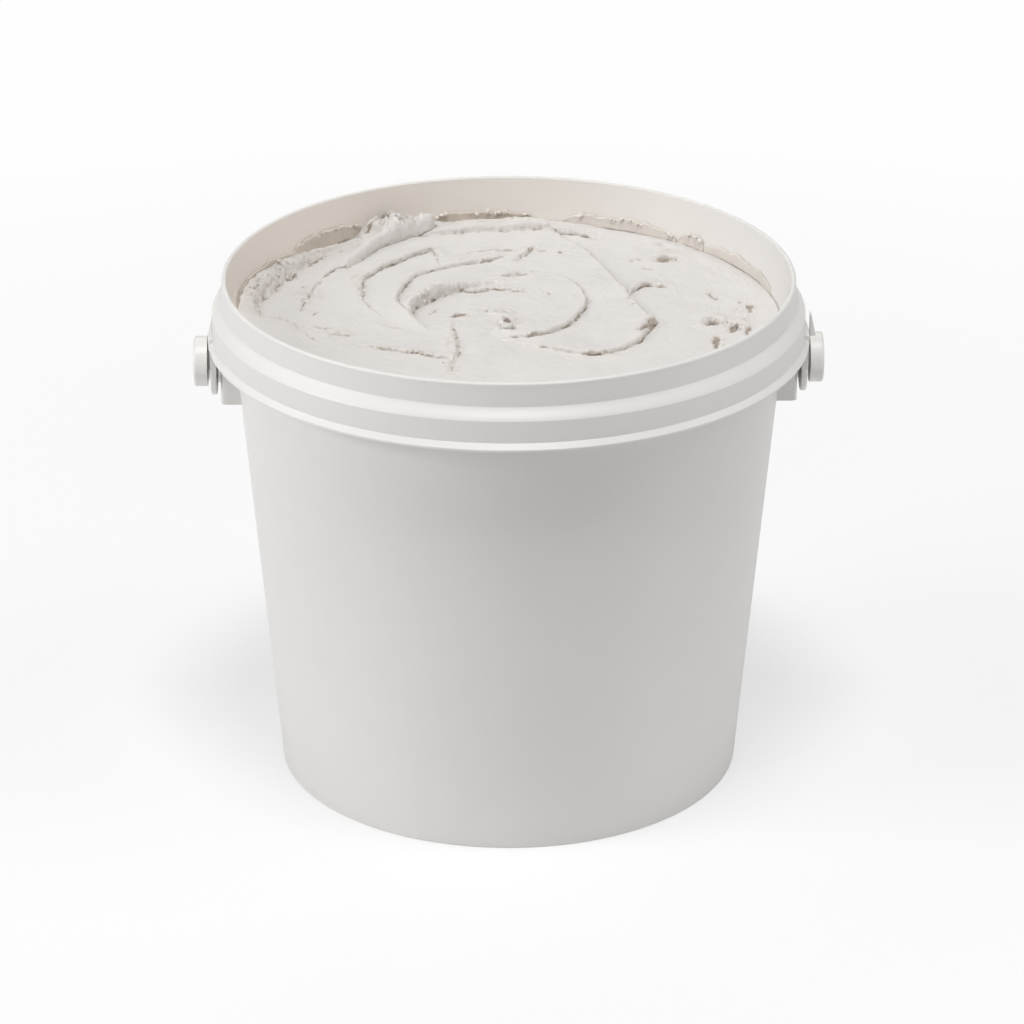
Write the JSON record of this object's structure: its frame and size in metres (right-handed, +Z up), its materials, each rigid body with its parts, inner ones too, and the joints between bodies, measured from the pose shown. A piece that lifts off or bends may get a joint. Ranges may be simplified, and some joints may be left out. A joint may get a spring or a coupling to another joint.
{
  "type": "wall filler tub",
  "caption": "Open round plastic tub of wall filler with a trowelled paste surface and a carrying bail that swings in its ears.",
  "frame": {"origin": "centre of the tub's base, on the plane of its foot ring", "axes": "+Z up through the mouth; +X through the right-hand ear along the bail's pivot axis; -Y is the front, and the bail hangs at the back on +Y"},
  "size_m": [0.249, 0.2376, 0.2063],
  "materials": {
    "tub_plastic": "satin",
    "bail_plastic": "satin",
    "filler_paste": "matte",
    "dried_film": "matte"
  },
  "bodies": {
    "tub": {"tub_body": "tub_plastic", "filler": "filler_paste", "wall_film": "dried_film"},
    "handle": {"bail": "bail_plastic"}
  },
  "joints": [
    {"name": "bail_swing", "type": "hinge", "parent": "tub", "child": "handle", "pos_m": [0, 0, 0.1704], "axis": [1, 0, 0], "range_deg": [0, 236.5]}
  ]
}
